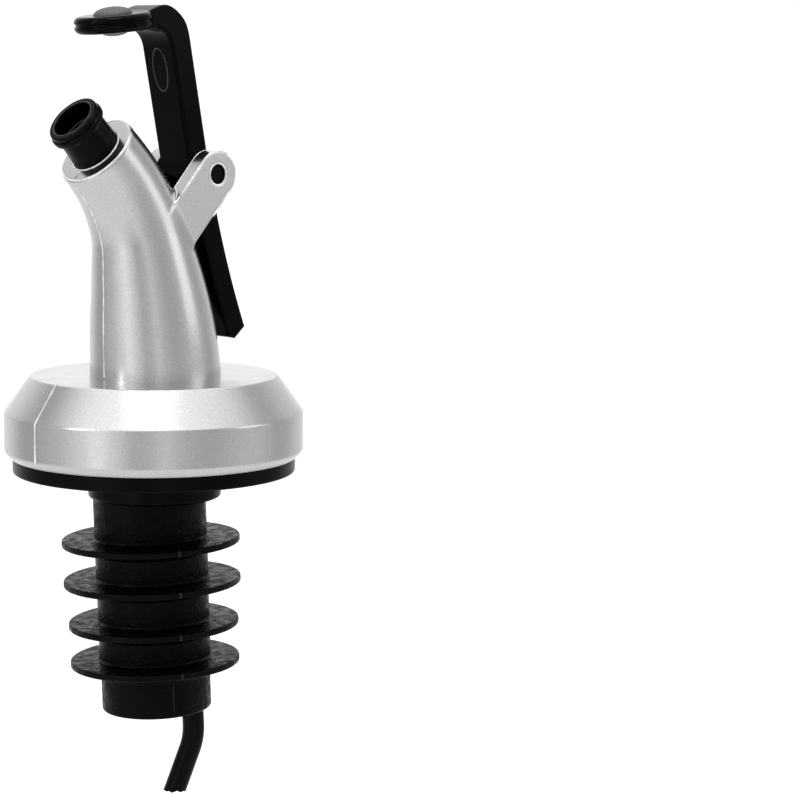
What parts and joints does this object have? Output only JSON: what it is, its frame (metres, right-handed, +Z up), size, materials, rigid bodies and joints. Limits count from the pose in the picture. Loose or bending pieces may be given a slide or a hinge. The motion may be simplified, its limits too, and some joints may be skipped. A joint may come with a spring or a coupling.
{
  "type": "liquor pour spout",
  "caption": "Bottle pour spout with a finned rubber stopper, a flared collar, a bent pouring neck and a flip-up lever whose pad covers the mouth.",
  "frame": {"origin": "centre of the flat ring under the collar that rests on the bottle's rim", "axes": "+Z up the stopper's axis, out of the bottle; -X the way the spout pours; the lever turns about a line along Y"},
  "size_m": [0.039, 0.039, 0.1041],
  "materials": {
    "metallised_shell": "moulded plastic with a silver metallised, faintly speckled satin-gloss skin",
    "black_moulding": "moulded, semi-gloss",
    "lever_black": "moulded, polished gloss",
    "stopper_rubber": "moulded, spark-eroded satin",
    "breather_plastic": "extruded tube, cut end",
    "pad_rubber": "soft, matt"
  },
  "bodies": {
    "spout": {"spout_shell": "metallised_shell", "base_disc": "black_moulding", "pour_liner": "black_moulding", "stopper": "stopper_rubber", "breather_tube": "breather_plastic"},
    "lever": {"lever": "lever_black", "pivot_pin": "black_moulding", "seal_pad": "pad_rubber"}
  },
  "joints": [
    {"name": "lever_pivot", "type": "hinge", "parent": "spout", "child": "lever", "pos_m": [0.00625, 0, 0.03875], "axis": [0, -1, 0], "range_deg": [-3, 37.5]}
  ]
}
